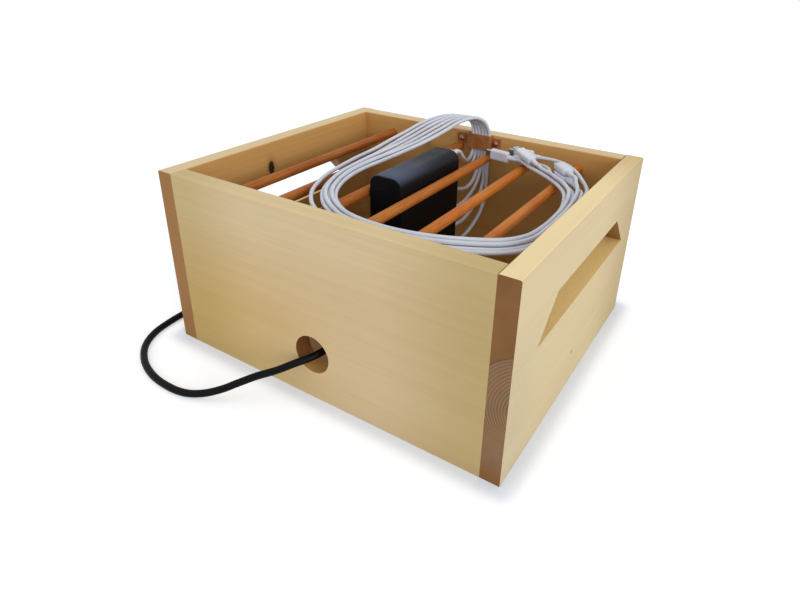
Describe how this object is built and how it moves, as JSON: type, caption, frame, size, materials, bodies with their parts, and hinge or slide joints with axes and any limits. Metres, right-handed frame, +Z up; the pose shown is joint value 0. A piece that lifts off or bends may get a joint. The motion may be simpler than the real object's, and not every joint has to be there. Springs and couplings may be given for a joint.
{
  "type": "laptop charging box",
  "caption": "Open wooden box with handle slots and divider dowels that holds laptops upright round a standing charger with a loop of charge cables.",
  "frame": {"origin": "middle of the box's underside, on the surface that it stands on", "axes": "+X along the box's long side towards the panel with the bare handle slot that the picture shows, +Y from the front panel with the cable hole to the back panel, +Z up"},
  "size_m": [0.4926, 0.3914, 0.2087],
  "materials": {
    "pine_board": "oiled pine, fine long grain, slightly glossy",
    "plywood": "bare birch plywood",
    "beech_pin": "bare beech",
    "dowel_wood": "reddish brown oiled hardwood",
    "strap_leather": "brown vegetable-tanned leather, raw edges",
    "screw_copper": "copper-coloured plating",
    "steel_washer": "satin steel",
    "charger_casing": "fine-grained black plastic",
    "inlet_plastic": "smooth black plastic",
    "circuit_board": "green solder mask",
    "board_components": "dark resin",
    "plated_metal": "nickel plating",
    "status_light": "clear light guide",
    "white_plug": "smooth white plastic",
    "white_cable": "smooth white sheath",
    "black_plug": "moulded black plastic",
    "black_cord": "smooth black sheath",
    "tie_rubber": "woven black band"
  },
  "bodies": {
    "root": {"front_panel": "pine_board", "back_panel": "pine_board", "left_panel": "pine_board", "right_panel": "pine_board", "floor_panel": "plywood", "corner_dowels": "beech_pin", "divider_dowel_1": "dowel_wood", "divider_dowel_2": "dowel_wood", "divider_dowel_3": "dowel_wood", "divider_dowel_4": "dowel_wood", "divider_dowel_5": "dowel_wood", "divider_dowel_6": "dowel_wood", "cable_strap": "strap_leather", "strap_screws": "screw_copper", "strap_washers": "steel_washer", "charger_sleeve": "charger_casing", "charger_inlet_end": "charger_casing", "charger_port_end": "charger_casing", "charger_inlet": "inlet_plastic", "charger_inlet_pins": "plated_metal", "charger_main_board": "circuit_board", "charger_port_board": "circuit_board", "charger_components": "board_components", "usb_sockets": "plated_metal", "charger_light": "status_light", "charger_plug_1": "white_plug", "charger_plug_2": "white_plug", "charger_plug_3": "white_plug", "charger_plug_4": "white_plug", "charger_plug_5": "white_plug", "charger_plug_6": "white_plug", "charger_plug_shells": "plated_metal", "charge_cable_1": "white_cable", "charge_cable_2": "white_cable", "charge_cable_3": "white_cable", "charge_cable_4": "white_cable", "charge_cable_5": "white_cable", "charge_cable_6": "white_cable", "laptop_plug_1": "white_plug", "laptop_plug_2": "white_plug", "laptop_plug_3": "white_plug", "laptop_plug_4": "white_plug", "laptop_plug_5": "white_plug", "laptop_plug_6": "white_plug", "laptop_plug_shells": "plated_metal", "inlet_connector": "black_plug", "mains_lead": "black_cord", "mains_coil": "black_cord", "coil_tie": "tie_rubber", "wall_plug_body": "black_plug", "wall_plug_pins": "plated_metal"}
  },
  "joints": []
}
